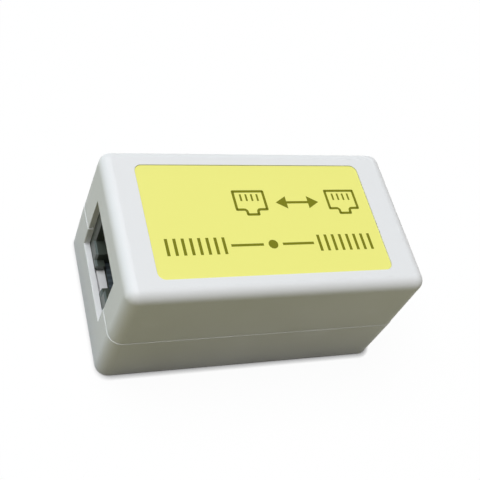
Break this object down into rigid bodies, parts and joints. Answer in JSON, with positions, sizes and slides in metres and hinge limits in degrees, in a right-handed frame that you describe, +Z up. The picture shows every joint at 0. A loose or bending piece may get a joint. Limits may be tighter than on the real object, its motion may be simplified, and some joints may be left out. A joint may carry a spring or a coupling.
{
  "type": "rj45 inline coupler",
  "caption": "Small two-shell plastic box with a modular jack in each end, joined inside by a circuit board, for joining two network cables.",
  "frame": {"origin": "centre of the underside, on the surface that it rests on", "axes": "+X along the coupler from one port to the other, +Z up through the labelled face, +Y across"},
  "size_m": [0.05, 0.0274, 0.0242],
  "materials": {
    "case_plastic": "off-white moulded plastic with a fine matte grain",
    "label_film": "yellow printed film with plain olive marks",
    "board_laminate": "dark slate solder mask over glass laminate",
    "jack_plastic": "dark grey moulded plastic, slightly glossy",
    "carrier_plastic": "black moulded plastic",
    "contact_metal": "gold-plated spring bronze",
    "solder": "bright tin solder"
  },
  "bodies": {
    "root": {"upper_shell": "case_plastic", "lower_shell": "case_plastic", "label": "label_film", "circuit_board": "board_laminate", "jack_housing_left": "jack_plastic", "jack_housing_right": "jack_plastic", "contact_carrier_left": "carrier_plastic", "contact_carrier_right": "carrier_plastic", "contact_left_1": "contact_metal", "contact_left_2": "contact_metal", "contact_left_3": "contact_metal", "contact_left_4": "contact_metal", "contact_left_5": "contact_metal", "contact_left_6": "contact_metal", "contact_left_7": "contact_metal", "contact_left_8": "contact_metal", "contact_right_1": "contact_metal", "contact_right_2": "contact_metal", "contact_right_3": "contact_metal", "contact_right_4": "contact_metal", "contact_right_5": "contact_metal", "contact_right_6": "contact_metal", "contact_right_7": "contact_metal", "contact_right_8": "contact_metal", "solder_left": "solder", "solder_right": "solder"}
  },
  "joints": []
}
